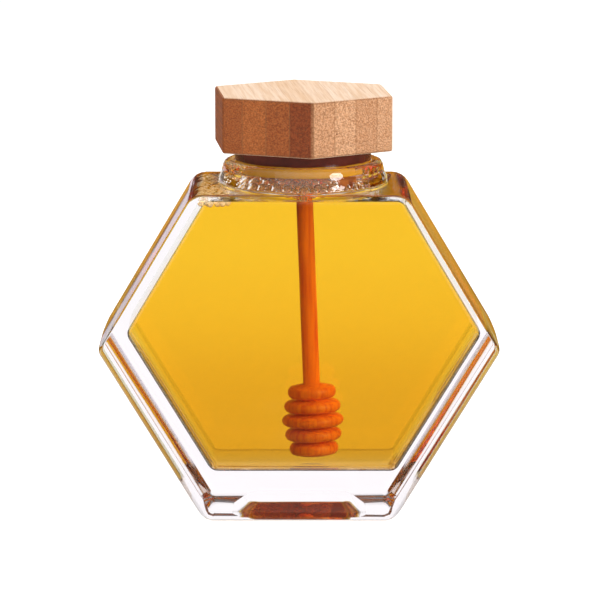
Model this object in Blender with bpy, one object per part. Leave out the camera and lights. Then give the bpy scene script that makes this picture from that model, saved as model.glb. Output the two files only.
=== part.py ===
"""Hexagonal honey jar: a thick glass body full of honey, closed by a bamboo lid with a dipper under it."""

import math

import bmesh
import bpy
from mathutils import Matrix, Vector

MM = 0.001
GAP = 0.3  # left between pieces that touch

# Glass body: a hexagon standing on one side, in millimetres, seen from the front
BODY_HALF_WIDTH = 58.2
CORNER_HEIGHT = 47.9
SHOULDER_HEIGHT = 94.5
SHOULDER_HALF_WIDTH = 30.5
FOOT_HALF_WIDTH = 29.0
BODY_DEPTH = 50.0
CORNER_ROUND = 3.0
SHOULDER_ROUND = 5.5
LOWER_INSET = 4.8  # how far the lower walls draw in towards the front and back faces
LOWER_RUN = 17.0  # the depth over which they do so
UPPER_INSET = 0.4
UPPER_RUN = 3.0
SHOULDER_INSET = 0.3
SHOULDER_RUN = 2.0
FOOT_ROUND = 3.0

# Hollow inside the glass
SHOULDER_WALL = 2.0
UPPER_WALL = 3.3
LOWER_WALL = 9.9
BASE_THICKNESS = 14.5
FACE_WALL = 4.0
HOLLOW_CORNER_ROUND = 3.0
HOLLOW_EDGE = 0.6  # round of the upper edges at the front and back faces
HOLLOW_FOOT_EDGE = 1.6  # and of the lower ones
HOLLOW_X = 1.3  # the hollow sits this far to the right in the glass

# Recess pressed up into the thick base
RECESS_HALF_WIDTH = 19.5
RECESS_HALF_DEPTH = 16.0
RECESS_HEIGHT = 4.0
RECESS_RUN = 4.5  # how far its walls lean in over their height
RECESS_CORNER_ROUND = 5.0

# Round neck, the lid and what hangs from it
NECK_X = 1.1
NECK_BOTTOM = 86.0
NECK_OUTLINE = (
    (22.0, 86.0), (24.4, 90.0), (24.6, 93.6), (24.5, 95.6), (24.2, 97.0), (23.5, 98.2),
    (23.2, 99.4), (23.0, 100.4), (22.5, 101.3), (21.5, 101.7), (20.6, 101.4),
)
BORE_RADIUS = 19.9
HONEY_LEVEL = 94.2

LID_BOTTOM = 105.3
LID_THICKNESS = 16.0
LID_RADIUS = 28.1
LID_TURN = 5.5  # degrees, the front corner swings to the right
LID_EDGE = 0.6

PLUG_RADIUS = 17.4
PLUG_BOTTOM = 97.6
PLUG_EDGE = 0.8
SEAL_RADIUS = 19.6
SEAL_BOTTOM = 98.0
SEAL_ROUND = 1.0

STICK_RADIUS = 2.42
STICK_TOP = 103.0
LEAN = 2.14  # degrees, the head swings to the right
HEAD_TOP = 36.8
HEAD_BOTTOM = 16.0
RIDGE_RADII = (7.1, 8.2, 8.95, 8.2, 6.95)  # from the lowest ridge up
GROOVE_RADIUS = 4.6
GROOVE_SHARE = 0.24  # of each ridge's pitch

CORNER_STEPS = 5
CROWN_STEPS = 7
EDGE_STEPS = 3
ROUND_STEPS = 48
DIPPER_STEPS = 28
RIDGE_STEPS = 5
SHARP_ANGLE = 32


def arc(first, last, steps):
    """Evenly spread angles in radians between two angles in degrees."""
    return [math.radians(first + (last - first) * k / steps) for k in range(steps + 1)]


def hexagon(insets):
    """Corners of the body's hexagon with each side moved inwards by its own amount.

    The sides run: upper right, shoulder, upper left, lower left, foot, lower right.
    """
    corners = [
        Vector((BODY_HALF_WIDTH, CORNER_HEIGHT)),
        Vector((SHOULDER_HALF_WIDTH, SHOULDER_HEIGHT)),
        Vector((-SHOULDER_HALF_WIDTH, SHOULDER_HEIGHT)),
        Vector((-BODY_HALF_WIDTH, CORNER_HEIGHT)),
        Vector((-FOOT_HALF_WIDTH, 0.0)),
        Vector((FOOT_HALF_WIDTH, 0.0)),
    ]
    sides = []
    for k, start in enumerate(corners):
        along = (corners[(k + 1) % 6] - start).normalized()
        sides.append((start + Vector((-along.y, along.x)) * insets[k], along))
    moved = []
    for k in range(6):
        (p, a), (q, b) = sides[k - 1], sides[k]
        reach = (q - p).cross(b) / a.cross(b)
        moved.append(p + a * reach)
    return moved


def rounded(corners, radii):
    """The corners of a convex outline replaced by arcs, as one closed row of points."""
    points = []
    count = len(corners)
    for k, (corner, radius) in enumerate(zip(corners, radii)):
        back = (corners[k - 1] - corner).normalized()
        ahead = (corners[(k + 1) % count] - corner).normalized()
        half = back.angle(ahead) / 2
        inwards = (back + ahead).normalized()
        centre = corner + inwards * radius / math.sin(half)
        middle = math.atan2(-inwards.y, -inwards.x)
        swing = math.pi / 2 - half
        for step in range(CORNER_STEPS):
            turn = middle - swing + 2 * swing * step / (CORNER_STEPS - 1)
            points.append(centre + Vector((math.cos(turn), math.sin(turn))) * radius)
    return points


def draw_in(depth, half_depth, inset, run):
    """How far an elliptical crown has drawn in at a given distance from the middle plane."""
    share = max(0.0, (depth - (half_depth - run)) / run)
    return inset * (1 - math.sqrt(max(0.0, 1 - share * share)))


def keep(name, bm):
    """One mesh object from a bmesh held in millimetres."""
    bmesh.ops.remove_doubles(bm, verts=bm.verts, dist=0.001)
    bmesh.ops.recalc_face_normals(bm, faces=bm.faces)
    bmesh.ops.scale(bm, vec=(MM, MM, MM), verts=bm.verts)
    mesh = bpy.data.meshes.new(name)
    bm.to_mesh(mesh)
    bm.free()
    solid = bpy.data.objects.new(name, mesh)
    bpy.context.scene.collection.objects.link(solid)
    return solid


def loft(name, rings):
    """A closed solid through rings of equal point count."""
    bm = bmesh.new()
    rows = [[bm.verts.new(point) for point in ring] for ring in rings]
    for low, high in zip(rows, rows[1:]):
        for k in range(len(low)):
            after = (k + 1) % len(low)
            bm.faces.new((low[k], low[after], high[after], high[k]))
    bm.faces.new(rows[0][::-1])
    bm.faces.new(rows[-1])
    return keep(name, bm)


def turned(name, outline, steps):
    """A solid of revolution about Z from (radius, height) points listed from the bottom up."""
    bm = bmesh.new()
    points = [bm.verts.new((radius, 0.0, height)) for radius, height in outline]
    edges = [bm.edges.new(pair) for pair in zip(points, points[1:])]
    bmesh.ops.spin(
        bm, geom=points + edges, axis=(0, 0, 1), cent=(0, 0, 0),
        angle=math.tau, steps=steps, use_merge=True, use_duplicate=False,
    )
    bmesh.ops.remove_doubles(bm, verts=bm.verts, dist=0.001)
    rims = [e for e in bm.edges if e.is_boundary]
    if rims:
        bmesh.ops.holes_fill(bm, edges=rims, sides=0)
    return keep(name, bm)


def combine(solid, tool, operation):
    """Apply an exact Boolean with a tool that is used up."""
    tool.hide_render = True
    tool.display_type = "WIRE"
    modifier = solid.modifiers.new(operation.title(), "BOOLEAN")
    modifier.operation = operation
    modifier.solver = "EXACT"
    modifier.object = tool
    bpy.context.view_layer.update()
    shape = solid.evaluated_get(bpy.context.evaluated_depsgraph_get())
    mesh = bpy.data.meshes.new_from_object(shape)
    solid.modifiers.clear()
    old = solid.data
    solid.data = mesh
    bpy.data.meshes.remove(old)
    bpy.data.objects.remove(tool)


def place(solid, x=0.0, lean=0.0, pivot=0.0):
    """Set a solid at a distance from the middle, leant about a point on its axis, in millimetres."""
    at = Vector((0, 0, pivot * MM))
    turn = Matrix.Translation(at) @ Matrix.Rotation(math.radians(lean), 4, "Y") @ Matrix.Translation(-at)
    solid.matrix_world = Matrix.Translation((x * MM, 0, 0)) @ turn
    return solid


def body_shell():
    """The outside of the glass below the neck: a hexagon whose walls are crowned from front to back."""
    half = BODY_DEPTH / 2
    flat = half - LOWER_RUN
    stations = {flat + LOWER_RUN * math.sin(turn) for turn in arc(0, 90, CROWN_STEPS)}
    stations |= {half - FOOT_ROUND + FOOT_ROUND * math.sin(turn) for turn in arc(20, 75, EDGE_STEPS)}
    stations = sorted(stations)
    rings = []
    for depth in [-d for d in reversed(stations)] + stations:
        lower = draw_in(abs(depth), half, LOWER_INSET, LOWER_RUN)
        upper = draw_in(abs(depth), half, UPPER_INSET, UPPER_RUN)
        shoulder = draw_in(abs(depth), half, SHOULDER_INSET, SHOULDER_RUN)
        foot = draw_in(abs(depth), half, FOOT_ROUND, FOOT_ROUND)
        corners = hexagon([upper, shoulder, upper, lower, foot, lower])
        side, top = CORNER_ROUND - lower * 0.3, SHOULDER_ROUND
        outline = rounded(corners, [side, top, top, side, side, side])
        rings.append([(p.x, depth, p.y) for p in outline])
    return loft("body", rings)


def hollow(name, gap, top):
    """The room inside the glass, smaller by a gap all round and closed at a given height in the neck."""
    half = BODY_DEPTH / 2 - FACE_WALL
    stations = {half - HOLLOW_FOOT_EDGE + HOLLOW_FOOT_EDGE * math.sin(turn) for turn in arc(0, 90, EDGE_STEPS + 1)}
    stations |= {half - HOLLOW_EDGE + HOLLOW_EDGE * math.sin(turn) for turn in arc(0, 60, 2)}
    stations = sorted(stations)
    rings = []
    for depth in [-d for d in reversed(stations)] + stations:
        edge = draw_in(abs(depth), half, HOLLOW_EDGE, HOLLOW_EDGE) + gap
        foot = draw_in(abs(depth), half, HOLLOW_FOOT_EDGE, HOLLOW_FOOT_EDGE) + gap
        upper, lower = UPPER_WALL + edge, LOWER_WALL + foot
        corners = hexagon([upper, SHOULDER_WALL + edge, upper, lower, BASE_THICKNESS + foot, lower])
        outline = rounded(corners, [HOLLOW_CORNER_ROUND - foot] * 6)
        rings.append([(p.x + HOLLOW_X, depth * (half - gap) / half, p.y) for p in outline])
    room = loft(name, rings)
    bore = BORE_RADIUS - gap
    low = NECK_BOTTOM + gap
    neck = turned("bore", ((0, low), (bore, low), (bore, top), (0, top)), ROUND_STEPS)
    combine(room, place(neck, NECK_X), "UNION")
    return room


def recess():
    """The arch pressed up into the base, with sloping walls and rounded ends."""
    rings = []
    levels = ((-2.0, -0.4), (0.2, 0.2), (RECESS_HEIGHT - 0.3, RECESS_RUN), (RECESS_HEIGHT, RECESS_RUN + 0.8))
    for height, shrink in levels:
        wide, deep = RECESS_HALF_WIDTH - shrink, RECESS_HALF_DEPTH - shrink
        corners = [Vector((wide, deep)), Vector((-wide, deep)), Vector((-wide, -deep)), Vector((wide, -deep))]
        rings.append([(p.x, p.y, height) for p in rounded(corners, [RECESS_CORNER_ROUND - shrink * 0.4] * 4)])
    return loft("recess", rings)


def glass_jar():
    solid = body_shell()
    solid.name = "jar"
    neck = turned("neck", ((0, NECK_BOTTOM),) + NECK_OUTLINE + ((0, NECK_OUTLINE[-1][1]),), ROUND_STEPS)
    combine(solid, place(neck, NECK_X), "UNION")
    combine(solid, hollow("room", 0.0, NECK_OUTLINE[-1][1] + 5), "DIFFERENCE")
    combine(solid, recess(), "DIFFERENCE")
    return solid


def dipper_outline(gap):
    """Half outline of the dipper from the foot of its head up, grown by a gap."""
    pitch = (HEAD_TOP - HEAD_BOTTOM) / len(RIDGE_RADII)
    groove = pitch * GROOVE_SHARE
    rise = (pitch - groove) / 2 + gap * 0.6
    points = [(0.0, HEAD_BOTTOM - gap), (RIDGE_RADII[0] * 0.62, HEAD_BOTTOM - gap)]
    for k, radius in enumerate(RIDGE_RADII):
        middle = HEAD_BOTTOM + pitch * (k + 0.5)
        bulge = (radius - GROOVE_RADIUS) * 0.5
        for turn in arc(-68, 68, RIDGE_STEPS):
            out = radius - bulge + bulge * math.cos(turn) + gap
            points.append((out, middle + rise * math.sin(turn) / math.sin(math.radians(68))))
        if k + 1 < len(RIDGE_RADII):
            edge = middle + pitch / 2
            points += [(GROOVE_RADIUS + gap, edge - groove * 0.2), (GROOVE_RADIUS + gap, edge + groove * 0.2)]
    points += [(STICK_RADIUS + gap, HEAD_TOP + gap + 0.4), (STICK_RADIUS + gap, STICK_TOP + gap)]
    points.append((0.0, STICK_TOP + gap))
    return points


def dipper(name, gap=0.0):
    solid = turned(name, dipper_outline(gap), DIPPER_STEPS)
    return place(solid, NECK_X, -LEAN, STICK_TOP)


def honey():
    solid = hollow("honey", GAP, HONEY_LEVEL)
    combine(solid, dipper("dipper room", GAP), "DIFFERENCE")
    return solid


def lid():
    """The bamboo block: a plain hexagonal prism with eased edges."""
    bm = bmesh.new()
    ring = []
    for k in range(6):
        turn = math.radians(60 * k - 90 + LID_TURN)
        ring.append(bm.verts.new((LID_RADIUS * math.cos(turn), LID_RADIUS * math.sin(turn), LID_BOTTOM)))
    face = bm.faces.new(ring)
    grown = bmesh.ops.extrude_face_region(bm, geom=[face])["geom"]
    top = [v for v in grown if isinstance(v, bmesh.types.BMVert)]
    bmesh.ops.translate(bm, vec=(0, 0, LID_THICKNESS), verts=top)
    bmesh.ops.bevel(
        bm, geom=list(bm.edges), offset=LID_EDGE, offset_type="OFFSET", affect="EDGES",
        segments=2, profile=0.5, material=-1,
    )
    return place(keep("lid", bm), NECK_X)


def plug():
    """The turned wooden disc under the lid, bored for the end of the stick."""
    top = LID_BOTTOM - GAP
    solid = turned("plug", (
        (0, PLUG_BOTTOM), (PLUG_RADIUS - PLUG_EDGE, PLUG_BOTTOM), (PLUG_RADIUS, PLUG_BOTTOM + PLUG_EDGE),
        (PLUG_RADIUS, top), (0, top),
    ), ROUND_STEPS)
    place(solid, NECK_X)
    combine(solid, dipper("stick room", GAP), "DIFFERENCE")
    return solid


def seal():
    """The soft ring round the plug that grips the inside of the neck."""
    top = LID_BOTTOM - GAP
    inner = PLUG_RADIUS + GAP
    bm = bmesh.new()
    outline = [(inner, SEAL_BOTTOM), (SEAL_RADIUS - SEAL_ROUND, SEAL_BOTTOM)]
    for turn in arc(-60, 0, 3):
        outline.append((
            SEAL_RADIUS - SEAL_ROUND + SEAL_ROUND * math.cos(turn),
            SEAL_BOTTOM + SEAL_ROUND + SEAL_ROUND * math.sin(turn),
        ))
    outline += [(SEAL_RADIUS, top), (inner, top)]
    points = [bm.verts.new((radius, 0.0, height)) for radius, height in outline]
    edges = [bm.edges.new((points[k - 1], points[k])) for k in range(len(points))]
    bmesh.ops.spin(
        bm, geom=points + edges, axis=(0, 0, 1), cent=(0, 0, 0),
        angle=math.tau, steps=ROUND_STEPS, use_merge=True, use_duplicate=False,
    )
    return place(keep("seal", bm), NECK_X)


def finish(solid, colour, roughness, transmission=0.0):
    material = bpy.data.materials.new(solid.name)
    material.use_nodes = True
    shader = material.node_tree.nodes["Principled BSDF"]
    shader.inputs["Base Color"].default_value = (*colour, 1.0)
    shader.inputs["Roughness"].default_value = roughness
    shader.inputs["Transmission Weight"].default_value = transmission
    solid.data.materials.clear()
    solid.data.materials.append(material)
    solid.data.shade_smooth()
    solid.data.set_sharp_from_angle(angle=math.radians(SHARP_ANGLE))


for thing in list(bpy.data.objects):
    bpy.data.objects.remove(thing)

finish(glass_jar(), (0.9, 0.95, 0.93), 0.05, 1.0)
finish(honey(), (0.90, 0.48, 0.04), 0.05, 1.0)
finish(lid(), (0.78, 0.55, 0.32), 0.6)
finish(plug(), (0.72, 0.50, 0.30), 0.6)
finish(seal(), (0.20, 0.05, 0.03), 0.4)
finish(dipper("dipper"), (0.74, 0.48, 0.24), 0.55)
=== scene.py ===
"""Hexagonal honey jar: thick clear glass full of honey, with a bamboo lid and a wooden dipper."""

import math
import random

import bmesh
import bpy
from mathutils import Matrix, Vector


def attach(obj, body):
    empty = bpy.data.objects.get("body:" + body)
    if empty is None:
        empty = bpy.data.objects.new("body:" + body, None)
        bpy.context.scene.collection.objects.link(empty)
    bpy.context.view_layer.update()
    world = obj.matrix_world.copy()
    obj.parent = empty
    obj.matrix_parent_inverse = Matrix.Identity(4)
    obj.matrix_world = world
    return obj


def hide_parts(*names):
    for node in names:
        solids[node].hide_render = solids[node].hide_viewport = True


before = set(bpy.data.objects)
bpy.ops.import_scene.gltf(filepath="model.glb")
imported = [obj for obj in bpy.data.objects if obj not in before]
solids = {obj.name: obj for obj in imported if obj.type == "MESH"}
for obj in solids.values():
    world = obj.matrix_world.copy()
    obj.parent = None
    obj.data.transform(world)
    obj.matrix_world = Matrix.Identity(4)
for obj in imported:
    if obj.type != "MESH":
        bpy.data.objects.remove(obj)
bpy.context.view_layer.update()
scene = bpy.context.scene


# The camera stands a little above the lid and looks down at the middle of the body.
# A long lens keeps the far wall nearly as wide as the near one.
CAMERA_PLACE = (0.00024, -1.1, 0.256)
CAMERA_TILT = 0.1761  # radians below the horizon
CAMERA_FOCUS = 3853.5  # in pixels of the render
RENDER_WIDTH = 600
SENSOR_WIDTH = 36

lens = bpy.data.cameras.new("camera")
lens.sensor_width = SENSOR_WIDTH
lens.lens = CAMERA_FOCUS / RENDER_WIDTH * SENSOR_WIDTH
camera = bpy.data.objects.new("camera", lens)
camera.location = CAMERA_PLACE
camera.rotation_euler = (math.pi / 2 - CAMERA_TILT, 0, 0)
scene.collection.objects.link(camera)
scene.camera = camera
scene.view_settings.view_transform = "Standard"
scene.cycles.max_bounces = 32  # light crosses many layers of glass and honey
scene.cycles.transmission_bounces = 28
scene.cycles.glossy_bounces = 12
scene.cycles.use_denoising = True


# The table is a wide sheet of white paper, with painted shade on it right beside the foot of the
# jar.
# It glows faintly, so that it stays as white as the room behind it.
FLOOR_HALF = 6.0
FLOOR_WHITE = (0.93, 0.93, 0.93, 1)
FLOOR_GLOW = 0.3
CONTACT_REACH = 0.007  # how far from the foot the painted shade reaches
CONTACT_SAMPLES = 12


def new_material(name, plain):
    """A new material, its node tree, and its shader with these plain values on it."""
    made = bpy.data.materials.new(name)
    made.use_nodes = True
    shader = made.node_tree.nodes["Principled BSDF"]
    for socket, value in plain.items():
        shader.inputs[socket].default_value = value
    return made, made.node_tree, shader


def feed(tree, value, socket):
    """Links a socket to another one, or sets it to a plain value."""
    if isinstance(value, bpy.types.NodeSocket):
        tree.links.new(value, socket)
    else:
        socket.default_value = value


def wire(tree, kind, inputs=(), **settings):
    """A new node with its settings, whose inputs are linked to sockets or set to plain values."""
    node = tree.nodes.new(kind)
    for name, value in settings.items():
        setattr(node, name, value)
    for socket, value in dict(inputs).items():
        feed(tree, value, node.inputs[socket])
    return node


sheet = bmesh.new()
bmesh.ops.create_grid(sheet, x_segments=2, y_segments=2, size=FLOOR_HALF)
floor_mesh = bpy.data.meshes.new("floor")
sheet.to_mesh(floor_mesh)
sheet.free()
floor = bpy.data.objects.new("floor", floor_mesh)
scene.collection.objects.link(floor)
floor.visible_glossy = False
floor.visible_transmission = False

paper, tree, shader = new_material("white paper", {
    "Roughness": 0.8, "Specular IOR Level": 0.1, "Emission Strength": FLOOR_GLOW,
})
# Painted shade: the paper's colour and glow are darkened where the foot of the jar comes near.
contact_shade = wire(tree, "ShaderNodeAmbientOcclusion", {
    "Distance": CONTACT_REACH, "Color": FLOOR_WHITE,
}, samples=CONTACT_SAMPLES).outputs["Color"]
tree.links.new(contact_shade, shader.inputs["Base Color"])
tree.links.new(contact_shade, shader.inputs["Emission Color"])
floor_mesh.materials.append(paper)


# The room is a white studio tent. Polish mirrors the cards that stand in it near the horizon, and
# what passes through the glass finds it dark in front, and dimmer overhead and underfoot.
WHITE = (1, 1, 1, 1)
SOFT_FILL = (0.55, 0.55, 0.55, 1)  # what matt surfaces get from the tent
CARD_EDGE = 0.03  # the left cards give way to the right ones this far from the middle
# Each card is its height, from 0 straight down to 1 straight up, and its colour.
CARDS_BELOW = (
    (0.0, (0.10, 0.09, 0.08)), (0.30, (0.20, 0.18, 0.17)), (0.38, (0.60, 0.56, 0.54)),
    (0.395, (0.16, 0.09, 0.06)), (0.43, (0.16, 0.08, 0.03)),
)
CARDS_LEFT = (
    (0.438, (0.62, 0.34, 0.05)), (0.462, (0.66, 0.38, 0.07)), (0.466, (0.12, 0.06, 0.03)),
    (0.471, (1.05, 1.04, 1.15)), (0.505, (1.05, 1.04, 1.15)),
)
CARDS_RIGHT = (
    (0.44, (0.42, 0.20, 0.02)), (0.465, (0.74, 0.44, 0.05)), (0.480, (0.80, 0.50, 0.07)),
    (0.490, (0.30, 0.16, 0.03)),
)
CARDS_ABOVE = (
    (0.510, (0.06, 0.04, 0.03)), (0.555, (0.06, 0.04, 0.03)), (0.570, (0.56, 0.27, 0.025)),
    (0.6, (0.45, 0.22, 0.03)), (0.68, (0.30, 0.26, 0.22)), (0.8, (0.85, 0.85, 0.85)),
    (1.0, (1, 1, 1)),
)
# Each of these is where a light starts and stops changing along its axis, and how strong it is
# at either place.
LIGHT_FROM_FRONT = (-0.96, -0.86, 0.06, 1.25)
LIGHT_FROM_BELOW = (-0.95, -0.35, 0.2, 1.0)
LIGHT_FROM_ABOVE = (0.35, 0.85, 1.0, 0.28)


def reckon(tree, operation, first, second=0.0, clamp=False):
    """The result socket of one Math node."""
    return wire(
        tree, "ShaderNodeMath", {0: first, 1: second}, operation=operation, use_clamp=clamp
    ).outputs[0]


def spread(tree, value, start, end, low=0.0, high=1.0):
    """A socket that goes from low to high while its value goes from start to end."""
    return wire(tree, "ShaderNodeMapRange", {
        "Value": value, "From Min": start, "From Max": end, "To Min": low, "To Max": high,
    }).outputs[0]


def split(tree, vector):
    """The X, Y and Z sockets of a vector."""
    return wire(tree, "ShaderNodeSeparateXYZ", {0: vector}).outputs


def ramp(tree, factor, *stops):
    """The colour socket of a Color Ramp with (position, colour) stops."""
    node = wire(tree, "ShaderNodeValToRGB", {0: factor})
    elements = node.color_ramp.elements
    while len(elements) > 1:
        elements.remove(elements[0])
    elements[0].position = stops[0][0]
    elements[0].color = (*stops[0][1], 1)
    for position, colour in stops[1:]:
        elements.new(position).color = (*colour, 1)
    return node.outputs[0]


def blend_colours(tree, factor, first, second, kind="MIX"):
    """The colour socket of a Mix node; a factor, both colours and the way they combine."""
    node = wire(tree, "ShaderNodeMix", data_type="RGBA", blend_type=kind)
    for socket, value in ((0, factor), (6, first), (7, second)):
        feed(tree, value, node.inputs[socket])
    return node.outputs[2]


tent = bpy.data.worlds.new("white tent")
scene.world = tent
tent.use_nodes = True
tree = tent.node_tree
toward = split(tree, wire(tree, "ShaderNodeTexCoord").outputs["Generated"])
height = spread(tree, toward["Z"], -1.0, 1.0)
mirrored = blend_colours(
    tree, spread(tree, toward["X"], -CARD_EDGE, CARD_EDGE),
    ramp(tree, height, *CARDS_BELOW, *CARDS_LEFT, *CARDS_ABOVE),
    ramp(tree, height, *CARDS_BELOW, *CARDS_RIGHT, *CARDS_ABOVE),
)
let_in = spread(tree, toward["Y"], *LIGHT_FROM_FRONT)
for light in (LIGHT_FROM_BELOW, LIGHT_FROM_ABOVE):
    let_in = reckon(tree, "MULTIPLY", let_in, spread(tree, toward["Z"], *light))
backing = WHITE
ray = wire(tree, "ShaderNodeLightPath").outputs
for kind, seen in (
    ("Is Glossy Ray", mirrored), ("Is Transmission Ray", let_in), ("Is Diffuse Ray", SOFT_FILL),
):
    backing = blend_colours(tree, ray[kind], backing, seen)
tree.links.new(backing, tree.nodes["Background"].inputs["Color"])


# Three round soft boxes above and to the right give the lid its pale and its dark faces.
# All are aimed at the middle of the jar, and only the one to the front right shows in polish.
LAMP_AIM = Vector((0, 0, 0.06))


def soft_box(name, place, size, power, seen_in_polish=False):
    """A round soft box aimed at the middle of the jar."""
    lamp = bpy.data.lights.new(name, "AREA")
    lamp.shape = "DISK"
    lamp.size = size
    lamp.energy = power
    stand = bpy.data.objects.new(name, lamp)
    stand.location = place
    stand.rotation_euler = (LAMP_AIM - Vector(place)).to_track_quat("-Z", "Y").to_euler()
    stand.visible_glossy = seen_in_polish
    stand.visible_transmission = False
    scene.collection.objects.link(stand)


soft_box("top box", place=(0.35, 0.25, 1.5), size=1.5, power=17.5)
soft_box("right box", place=(1.0, -0.85, 0.55), size=0.5, power=7.5, seen_in_polish=True)
soft_box("rim box", place=(1.1, 0.55, 0.5), size=0.5, power=2)


# Body of thick pressed glass with a round neck, a heavy base and a recess pressed up into it.
# The glass is clear, its faces ripple very slightly where it cooled against the mould, and the
# two upper side faces bow a little from back to front.
MM = 0.001
GLASS_INDEX = 1.52
GLASS_CLEAR = (0.98, 0.975, 0.98, 1)
GLASS_TINT = (0.90, 0.875, 0.895, 1)
GLASS_TINT_DENSITY = 26.0
BOW_HEIGHTS = (45 * MM, 92 * MM)  # from the side corners up to the shoulder
BOW_STEEPNESS = (1.5, 0.7)  # how fast a face falls away from its back, at those heights
BOW_BACK = 25 * MM
UPPER_FACE_RISE = 0.3  # how far a face at least looks up and aside, to be an upper side face
UPPER_FACE_ASIDE = 0.6
RIPPLE_SCALE = 50.0
RIPPLE_RELIEF = 0.25 * MM
RIPPLE_STRENGTH = 0.5
MERGE_REACH = 0.01 * MM


def merged_copy(node):
    """A bmesh of one CAD solid with its loose triangles joined."""
    shape = bmesh.new()
    shape.from_mesh(solids[node].data)
    bmesh.ops.remove_doubles(shape, verts=shape.verts, dist=MERGE_REACH)
    return shape


def show(name, shape, material, node=None, sharp=32):
    """Puts a finished bmesh in the scene as one piece that rides on the jar."""
    mesh = bpy.data.meshes.new(name)
    shape.to_mesh(mesh)
    shape.free()
    mesh.materials.clear()
    mesh.materials.append(material)
    mesh.shade_smooth()
    mesh.set_sharp_from_angle(angle=math.radians(sharp))
    piece = bpy.data.objects.new(name, mesh)
    scene.collection.objects.link(piece)
    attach(piece, "root")
    if node:
        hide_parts(node)
    return piece


def let_light_through(piece):
    """A clear piece casts no shadow, and its flat faces don't bend the view."""
    piece.visible_shadow = False
    flats = piece.modifiers.new("flat faces stay flat", "WEIGHTED_NORMAL")
    flats.keep_sharp = True
    flats.weight = 100


def soak_up(tree, colour, density):
    """Tints the light that crosses a clear material."""
    soak = wire(tree, "ShaderNodeVolumeAbsorption", {"Color": colour, "Density": density})
    tree.links.new(soak.outputs[0], tree.nodes["Material Output"].inputs["Volume"])


glass, tree, shader = new_material("clear pressed glass", {
    "Base Color": GLASS_CLEAR, "Roughness": 0.0, "Transmission Weight": 1.0, "IOR": GLASS_INDEX,
})
soak_up(tree, GLASS_TINT, GLASS_TINT_DENSITY)
where = wire(tree, "ShaderNodeTexCoord").outputs
facing = split(tree, where["Normal"])
spot = split(tree, where["Object"])
upper_side = reckon(
    tree, "MULTIPLY", reckon(tree, "GREATER_THAN", facing["Z"], UPPER_FACE_RISE),
    reckon(tree, "GREATER_THAN", reckon(tree, "ABSOLUTE", facing["X"]), UPPER_FACE_ASIDE),
)
steepness = spread(tree, spot["Z"], *BOW_HEIGHTS, *BOW_STEEPNESS)
from_back = reckon(tree, "SUBTRACT", spot["Y"], BOW_BACK)
fall = reckon(
    tree, "MULTIPLY", reckon(tree, "MULTIPLY", from_back, from_back),
    reckon(tree, "MULTIPLY", steepness, upper_side),
)
bow = wire(tree, "ShaderNodeBump", {
    "Height": fall, "Strength": 1.0, "Distance": 1.0,
}, invert=True)
ripple = wire(tree, "ShaderNodeTexNoise", {
    "Vector": where["Object"], "Scale": RIPPLE_SCALE, "Detail": 1.0,
})
pressed = wire(tree, "ShaderNodeBump", {
    "Height": ripple.outputs["Fac"], "Strength": RIPPLE_STRENGTH, "Distance": RIPPLE_RELIEF,
    "Normal": bow.outputs["Normal"],
})
tree.links.new(pressed.outputs["Normal"], shader.inputs["Normal"])
let_light_through(show("glass_jar", merged_copy("jar"), glass, "jar"))


# Honey poured to just inside the neck. It wets the glass all round and closes about the dipper.
# Light crossing it loses most of its blue and some green, so thick places turn amber.
HONEY_INDEX = 1.42
HONEY_GOLD = (0.995, 0.855, 0.01, 1)
HONEY_DENSITY = 90.0
HONEY_HEIGHTS = (14 * MM, 92 * MM)  # over which its painted shade fades, as these stops say
HONEY_PAINTED_SHADE = (
    (0.0, (0.77, 0.63, 0.53)), (0.3, (0.84, 0.71, 0.56)), (0.55, (0.96, 0.89, 0.8)),
    (0.8, (1, 1, 1)),
)
HONEY_SIDE_SHADE = (0.72, 0.80, 0.62, 1)  # painted shade: what the side faces let through besides
SIDE_FACE = 0.5  # how far a face at least looks aside, to be a side face
HONEY_REACH = 0.5 * MM  # over the gap and a little way into the glass
HONEY_LEVEL = 94.2 * MM
STICK_FOOT = Vector((4.36, 0, 15.7)) * MM  # on the dipper's axis, at the bottom of its head
STICK_HEAD = Vector((1.1, 0, 103.0)) * MM
DIPPER_ROOM = 9.9 * MM  # the room cut for the dipper lies within this of its axis
DIPPER_ROOM_BELOW = 0.3 * MM

honey_gold, tree, shader = new_material("honey", {
    "Roughness": 0.0, "Transmission Weight": 1.0, "IOR": HONEY_INDEX,
})
soak_up(tree, HONEY_GOLD, HONEY_DENSITY)
where = wire(tree, "ShaderNodeTexCoord").outputs
# Painted shade: the honey's colour is darker towards the bottom.
level = spread(tree, split(tree, where["Object"])["Z"], *HONEY_HEIGHTS)
shade_by_height = ramp(tree, level, *HONEY_PAINTED_SHADE)
# Painted shade: the side faces are darker and browner than the front and back.
aside = reckon(tree, "ABSOLUTE", split(tree, where["Normal"])["X"])
honey_shade = blend_colours(
    tree, reckon(tree, "GREATER_THAN", aside, SIDE_FACE), shade_by_height,
    blend_colours(tree, 1.0, shade_by_height, HONEY_SIDE_SHADE, "MULTIPLY"),
)
tree.links.new(honey_shade, shader.inputs["Base Color"])

# Honey lies against the wood, so the room cut for the dipper is closed again. Then it grows to
# reach just into the glass, but no higher than its level.
pour = merged_copy("honey")
axis = (STICK_HEAD - STICK_FOOT).normalized()
room = []
for vert in pour.verts:
    away = vert.co - STICK_FOOT
    beside = (away - axis * away.dot(axis)).length
    if beside < DIPPER_ROOM and vert.co.z > STICK_FOOT.z - DIPPER_ROOM_BELOW:
        room.append(vert)
bmesh.ops.delete(pour, geom=room, context="VERTS")
bmesh.ops.holes_fill(pour, edges=[edge for edge in pour.edges if edge.is_boundary], sides=0)
bmesh.ops.recalc_face_normals(pour, faces=pour.faces)
pour.normal_update()
moves = [(vert, vert.normal * HONEY_REACH * vert.calc_shell_factor()) for vert in pour.verts]
for vert, move in moves:
    vert.co += move
    vert.co.z = min(vert.co.z, HONEY_LEVEL)
let_light_through(show("honey_fill", pour, honey_gold, "honey"))


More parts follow.
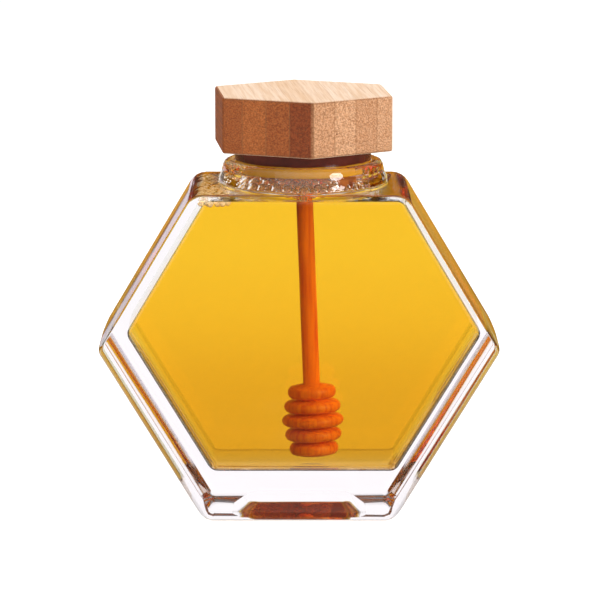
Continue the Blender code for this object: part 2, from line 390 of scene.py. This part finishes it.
# Foam of small air bubbles left by the pouring, afloat in the neck and caught under the left
# shoulder. Each is a ball of trapped air with a bright rim. The big ones take their places first,
# and the small ones fill in between them.
NECK_CENTRE = Vector((1.1, 0.0)) * MM
NECK_ROOM = 19.2 * MM
NECK_FOAM_END = 9 * MM  # the neck is clear to the right of this, but for its rim
RIM_TURN = (-80, 70)  # in degrees from straight right
RIM_BAND = (0.93, 1.0)  # in shares of the neck's room
SHOULDER_ACROSS = (-28.2 * MM, -19.5 * MM)
SHOULDER_DEEP = (-19.5 * MM, 19 * MM)
SHOULDER_UNDERSIDE = 92.6 * MM
SIZE_FALL = 0.7  # below 1, the sizes fall fast at first
PLACE_TRIES = 30
CLOSENESS = 0.86  # the share of their radii that two bubbles keep apart
SUNK_SHARE = 0.1  # the share of its radius that an afloat bubble sinks
AIR_IN_HONEY_INDEX = 0.7
HONEY_FILM_SCALE = 500.0
NECK_FOAM_PALE, NECK_FOAM_DEEP = (1.0, 0.78, 0.46, 1), (0.86, 0.52, 0.18, 1)
SHOULDER_FOAM_PALE, SHOULDER_FOAM_DEEP = (1.0, 0.88, 0.64, 1), (0.93, 0.70, 0.38, 1)

random.seed(11)
bubbles = []


def blow(count, big, small, spot, lift):
    """Places bubbles of falling size where spot gives a free place."""
    for number in range(count):
        radius = (big + (small - big) * (number / count) ** SIZE_FALL) * MM
        for attempt in range(PLACE_TRIES):
            x, y = spot()
            middle = Vector((x, y, lift(radius)))
            if all(
                (middle - other).length > (radius + size) * CLOSENESS for other, size in bubbles
            ):
                bubbles.append((middle, radius))
                break


def in_neck():
    """A place in the left and the middle of the neck."""
    while True:
        x, y = random.uniform(-NECK_ROOM, NECK_FOAM_END), random.uniform(-NECK_ROOM, NECK_ROOM)
        if math.hypot(x, y) < NECK_ROOM:
            return x + NECK_CENTRE.x, y + NECK_CENTRE.y


def at_right_rim():
    """A place along the right wall of the neck."""
    turn = math.radians(random.uniform(*RIM_TURN))
    reach = NECK_ROOM * random.uniform(*RIM_BAND)
    return reach * math.cos(turn) + NECK_CENTRE.x, reach * math.sin(turn) + NECK_CENTRE.y


def under_shoulder():
    """A place under the left shoulder of the glass."""
    return random.uniform(*SHOULDER_ACROSS), random.uniform(*SHOULDER_DEEP)


def froth(name, balls, pale, deep, clearness):
    """One mass of bubbles, tinted between two colours by how much honey clings to it."""
    air, tree, shader = new_material(name, {
        "Roughness": 0.0, "Transmission Weight": clearness, "IOR": AIR_IN_HONEY_INDEX,
    })
    where = wire(tree, "ShaderNodeTexCoord").outputs["Object"]
    film = wire(tree, "ShaderNodeTexNoise", {"Vector": where, "Scale": HONEY_FILM_SCALE})
    tint = blend_colours(tree, film.outputs["Fac"], pale, deep)
    tree.links.new(tint, shader.inputs["Base Color"])
    mass = bmesh.new()
    for middle, radius in balls:
        place = Matrix.Translation(middle)
        bmesh.ops.create_icosphere(mass, subdivisions=2, radius=radius, matrix=place)
    show(name, mass, air, sharp=180).visible_shadow = False


blow(330, big=1.7, small=0.4, spot=in_neck, lift=lambda radius: HONEY_LEVEL - radius * SUNK_SHARE)
blow(45, big=0.9, small=0.35, spot=at_right_rim, lift=lambda radius: HONEY_LEVEL)
neck_count = len(bubbles)
blow(150, big=1.1, small=0.4, spot=under_shoulder, lift=lambda radius: SHOULDER_UNDERSIDE - radius)
froth("foam_in_neck", bubbles[:neck_count], NECK_FOAM_PALE, NECK_FOAM_DEEP, clearness=0.92)
froth(
    "foam_under_shoulder", bubbles[neck_count:], SHOULDER_FOAM_PALE, SHOULDER_FOAM_DEEP,
    clearness=0.5,
)


# Dipper turned from one piece of wood: a thin stick, and a head with five rounded ridges.
# Its end is glued into the bore of the plug. Honey has soaked in and turned it orange.
DIPPER_PALE = (0.92, 0.245, 0.003)
DIPPER_DARK = (0.72, 0.115, 0.002)
PORE_STRETCH = (1, 1, 0.06)  # pores are drawn out along the stick
PORE_RELIEF = 0.2 * MM
DARK_PORE, PALE_PORE = 0.32, 0.6  # the grain's values at the dark and at the pale colour

grain = bpy.data.node_groups.new("turned grain", "ShaderNodeTree")
grain.interface.new_socket("Vector", in_out="INPUT", socket_type="NodeSocketVector")
grain.interface.new_socket("Fine", in_out="INPUT", socket_type="NodeSocketFloat")
grain.interface.new_socket("Grain", in_out="OUTPUT", socket_type="NodeSocketFloat")
way_in = grain.nodes.new("NodeGroupInput")
way_out = grain.nodes.new("NodeGroupOutput")
drawn = wire(grain, "ShaderNodeMapping", {
    "Vector": way_in.outputs["Vector"], "Scale": PORE_STRETCH,
})
pores = wire(grain, "ShaderNodeTexNoise", {
    "Vector": drawn.outputs[0], "Scale": way_in.outputs["Fine"], "Detail": 4.0,
})
grain.links.new(pores.outputs["Fac"], way_out.inputs["Grain"])


def turned_wood(name, pale, dark, fine, rough):
    """Material of a turned wooden piece between a pale and a dark colour."""
    made, tree, shader = new_material(name, {"Roughness": rough})
    where = wire(tree, "ShaderNodeTexCoord").outputs["Object"]
    streak = wire(tree, "ShaderNodeGroup", {"Vector": where, "Fine": fine}, node_tree=grain)
    streak = streak.outputs["Grain"]
    tone = ramp(tree, streak, (DARK_PORE, dark), (PALE_PORE, pale))
    tree.links.new(tone, shader.inputs["Base Color"])
    raised = wire(tree, "ShaderNodeBump", {
        "Height": streak, "Strength": 0.3, "Distance": PORE_RELIEF,
    })
    tree.links.new(raised.outputs["Normal"], shader.inputs["Normal"])
    return made


soaked = turned_wood("honey-soaked wood", DIPPER_PALE, DIPPER_DARK, fine=900.0, rough=0.42)
show("honey_dipper", merged_copy("dipper"), soaked, "dipper", sharp=50)


# Plug turned from pale wood and glued under the lid, with a bore for the end of the dipper.
# It reaches a little way into the neck and carries the seal ring.
PLUG_PALE = (0.62, 0.33, 0.13)
PLUG_DARK = (0.42, 0.19, 0.06)

plug_wood = turned_wood("plug wood", PLUG_PALE, PLUG_DARK, fine=700.0, rough=0.6)
show("lid_plug", merged_copy("plug"), plug_wood, "plug")


# Soft dark seal ring stretched round the plug, which is what holds the lid in the neck.
# It is smooth and mottled maroon, and gold below a wavy line just under the lip of the neck.
RING_MAROON = ((0.3, (0.055, 0.006, 0.004)), (0.7, (0.13, 0.018, 0.010)))
RING_MOTTLE_SCALE = 180.0
LOWER_GOLD = (0.66, 0.30, 0.018, 1)
GOLD_TOP = 102.3 * MM
GOLD_WAVE = 0.8 * MM
GOLD_EDGE = 0.4 * MM

ring, tree, shader = new_material("dark soft ring", {"Roughness": 0.22})
where = wire(tree, "ShaderNodeTexCoord").outputs["Object"]
mottle = wire(tree, "ShaderNodeTexNoise", {
    "Vector": where, "Scale": RING_MOTTLE_SCALE, "Detail": 3.0,
}).outputs["Fac"]
wavy = reckon(tree, "ADD", split(tree, where)["Z"], reckon(tree, "MULTIPLY", mottle, GOLD_WAVE))
gold_share = spread(tree, wavy, GOLD_TOP, GOLD_TOP - GOLD_EDGE)
banded = blend_colours(tree, gold_share, ramp(tree, mottle, *RING_MAROON), LOWER_GOLD)
tree.links.new(banded, shader.inputs["Base Color"])
show("seal_ring", merged_copy("seal"), ring, "seal")


# Lid sawn from a block of bamboo strips glued side by side, its edges eased and left bare.
# The strips run from front to back, so the front faces show their cut ends, full of small dark
# bundles. The faces that look left are painted darker and browner, as shade.
STRIP_WIDTH = 6.4  # in millimetres, as all of the pattern is
STRIP_SHIFT = -1.35
STRIP_TONES = (0.5, 0.45, 0.2, 0.5, 1.0, 0.45, 0.15, 0.5, 0.25, 0.3)  # left to right, dark is 1
LID_TURN = math.radians(5.5)
LID_SIDES = 6
PALE_STRIP, TONED_STRIP = (0.82, 0.64, 0.50, 1), (0.76, 0.55, 0.39, 1)
PALE_CUT, TONED_CUT = (0.80, 0.60, 0.44, 1), (0.62, 0.41, 0.27, 1)
# Painted shade on the faces that look left, for a pale and a toned strip.
PALE_LEFT_SHADE, TONED_LEFT_SHADE = (0.61, 0.225, 0.045, 1), (0.33, 0.08, 0.010, 1)
STREAK_BROWN = (0.56, 0.30, 0.12, 1)
BUNDLE_BROWN = (0.20, 0.07, 0.02, 1)
GLUE_BROWN = (0.22, 0.09, 0.03, 1)
EDGE_BROWN = (0.16, 0.06, 0.02, 1)
# Each scale is across the strips, along them and up.
BUNDLE_SCALE = (1.9, 0.05, 1.9)
STREAK_SCALE = (1.3, 0.035, 1.3)
MOTTLE_SCALE = (2.4, 0.06, 2.4)
PINHOLE_SCALE = (0.13, 0.004, 0.13)
PINHOLE_SHIFT = (0.3, 0, 0.62)
PINHOLE_SIZE = 0.055
STREAK_STOPS = ((0.36, (0.5, 0.5, 0.5)), (0.6, (0, 0, 0)))
MOTTLE_STOPS = ((0.38, (0.66, 0.58, 0.5)), (0.6, (1.15, 1.12, 1.1)))
MOTTLE_SHARE = 0.9
# Each of these is where a mark starts and ends, and how strong it is there.
BUNDLE_FADE = (0.18, 0.42, 1.0, 0.0)
GLUE_JOINT = (0.47, 0.5, 0.0, 0.75)
CUT_END = (0.25, 0.75, 0.0, 1.0)
EASED_EDGE = (0.4, 0.3, 0.0, 0.3)
UPRIGHT_EDGE = (0.5, -0.5, 0.0, 1.0)
EASED_TILT = 0.55  # how far an eased edge looks up or down
UPRIGHT_EDGE_SHARE = 0.5
LEFT_SHADE_RISE = -2.2  # how fast the painted shade deepens as a face turns to the left
# Each of these is how much of a mark shows everywhere, and how much more on the upright faces.
BUNDLES_SHOWN = (0.05, 0.42)
GLUE_SHOWN = (0.2, 0.75)
BAMBOO_RELIEF = 0.3 * MM

bamboo, tree, shader = new_material("laminated bamboo", {
    "Roughness": 0.62, "Specular IOR Level": 0.3,
})
where = wire(tree, "ShaderNodeTexCoord").outputs
facing = split(tree, where["Normal"])
along = wire(tree, "ShaderNodeMapping", {
    "Vector": where["Object"], "Scale": (1 / MM, 1 / MM, 1 / MM), "Rotation": (0, 0, -LID_TURN),
    "Location": (STRIP_SHIFT, 0, 0),
}).outputs[0]


def off_middle(value, middle):
    """How far a value is from a middle one."""
    return reckon(tree, "ABSOLUTE", reckon(tree, "SUBTRACT", value, middle))


def scaled(scale, shift=(0, 0, 0)):
    """The place in the lid's pattern, scaled for one kind of mark."""
    return wire(tree, "ShaderNodeMapping", {
        "Vector": along, "Scale": scale, "Location": shift,
    }).outputs[0]


def cells(scale, shift=(0, 0, 0)):
    """How far a place is from the middle of its cell."""
    return wire(tree, "ShaderNodeTexVoronoi", {
        "Vector": scaled(scale, shift), "Scale": 1.0, "Randomness": 1.0,
    }).outputs["Distance"]


def clouds(scale, texture):
    """Soft uneven noise, drawn out as its scale says."""
    return wire(tree, "ShaderNodeTexNoise", {
        "Vector": scaled(scale), "Scale": 1.0, **texture,
    }).outputs["Fac"]


def mostly_upright(mark, everywhere, more):
    """A mark that shows a little everywhere and more on the upright faces."""
    share = reckon(tree, "ADD", reckon(tree, "MULTIPLY", upright, more), everywhere)
    return reckon(tree, "MULTIPLY", mark, share)


# Each strip has its own tone, and a thin dark joint of glue on either side.
strip = reckon(tree, "DIVIDE", split(tree, along)["X"], STRIP_WIDTH)
count = len(STRIP_TONES)
nth = reckon(tree, "DIVIDE", reckon(tree, "FLOOR", strip), count)
lid_middle = 0.5 + 0.5 / count  # half way along the tones, and in the middle of a tone's stop
tones = wire(tree, "ShaderNodeValToRGB", {0: reckon(tree, "ADD", nth, lid_middle)})
stops = tones.color_ramp.elements
tones.color_ramp.interpolation = "CONSTANT"
stops.remove(stops[1])
for index, grey in enumerate(STRIP_TONES):
    stop = stops[0] if index == 0 else stops.new(index / count)
    stop.color = (grey, grey, grey, 1)
tone = tones.outputs[0]
joint = spread(tree, off_middle(reckon(tree, "FRACT", strip), 0.5), *GLUE_JOINT)

# The upright faces are the cut ends and the faces that look left, which carry painted shade. Edges
# are darker.
end = spread(tree, reckon(tree, "ABSOLUTE", facing["Y"]), *CUT_END)
left_shade = reckon(tree, "MULTIPLY", facing["X"], LEFT_SHADE_RISE, clamp=True)
upright = reckon(tree, "MAXIMUM", end, left_shade)
tilt = reckon(tree, "ABSOLUTE", facing["Z"])
eased = spread(tree, off_middle(tilt, EASED_TILT), *EASED_EDGE)
around = reckon(tree, "SUBTRACT", reckon(tree, "ARCTAN2", facing["Y"], facing["X"]), LID_TURN)
wave = reckon(tree, "COSINE", reckon(tree, "MULTIPLY", around, LID_SIDES))
corner = reckon(tree, "MULTIPLY", spread(tree, wave, *UPRIGHT_EDGE), upright)
darker_edges = reckon(tree, "MAXIMUM", eased, reckon(tree, "MULTIPLY", corner, UPRIGHT_EDGE_SHARE))

# Dark bundles, brown streaks, a few pinholes and a soft mottle lie over the tones.
bundles = spread(tree, cells(BUNDLE_SCALE), *BUNDLE_FADE)
streaks = clouds(STREAK_SCALE, {"Detail": 6.0, "Roughness": 0.65})
mottle = clouds(MOTTLE_SCALE, {"Detail": 2.0})
pinholes = reckon(tree, "LESS_THAN", cells(PINHOLE_SCALE, PINHOLE_SHIFT), PINHOLE_SIZE)
holed = reckon(
    tree, "MAXIMUM", mostly_upright(bundles, *BUNDLES_SHOWN),
    reckon(tree, "MULTIPLY", pinholes, upright),
)

colour = blend_colours(
    tree, ramp(tree, streaks, *STREAK_STOPS),
    blend_colours(tree, tone, PALE_STRIP, TONED_STRIP), STREAK_BROWN,
)
# The cut ends, with painted shade on those that look left.
cut_ends_and_left_shade = blend_colours(
    tree, left_shade, blend_colours(tree, tone, PALE_CUT, TONED_CUT),
    blend_colours(tree, tone, PALE_LEFT_SHADE, TONED_LEFT_SHADE),
)
colour = blend_colours(tree, upright, colour, blend_colours(tree, 1.0, colour, cut_ends_and_left_shade, "MULTIPLY"))
mottled = blend_colours(
    tree, reckon(tree, "MULTIPLY", upright, MOTTLE_SHARE), WHITE,
    ramp(tree, mottle, *MOTTLE_STOPS),
)
colour = blend_colours(tree, 1.0, colour, mottled, "MULTIPLY")
colour = blend_colours(tree, holed, colour, BUNDLE_BROWN)
colour = blend_colours(tree, mostly_upright(joint, *GLUE_SHOWN), colour, GLUE_BROWN)
colour = blend_colours(tree, darker_edges, colour, EDGE_BROWN)
tree.links.new(colour, shader.inputs["Base Color"])
relief = wire(tree, "ShaderNodeBump", {
    "Height": reckon(tree, "ADD", streaks, bundles), "Strength": 0.35, "Distance": BAMBOO_RELIEF,
})
tree.links.new(relief.outputs["Normal"], shader.inputs["Normal"])

block = solids["lid"].data
block.materials.clear()
block.materials.append(bamboo)
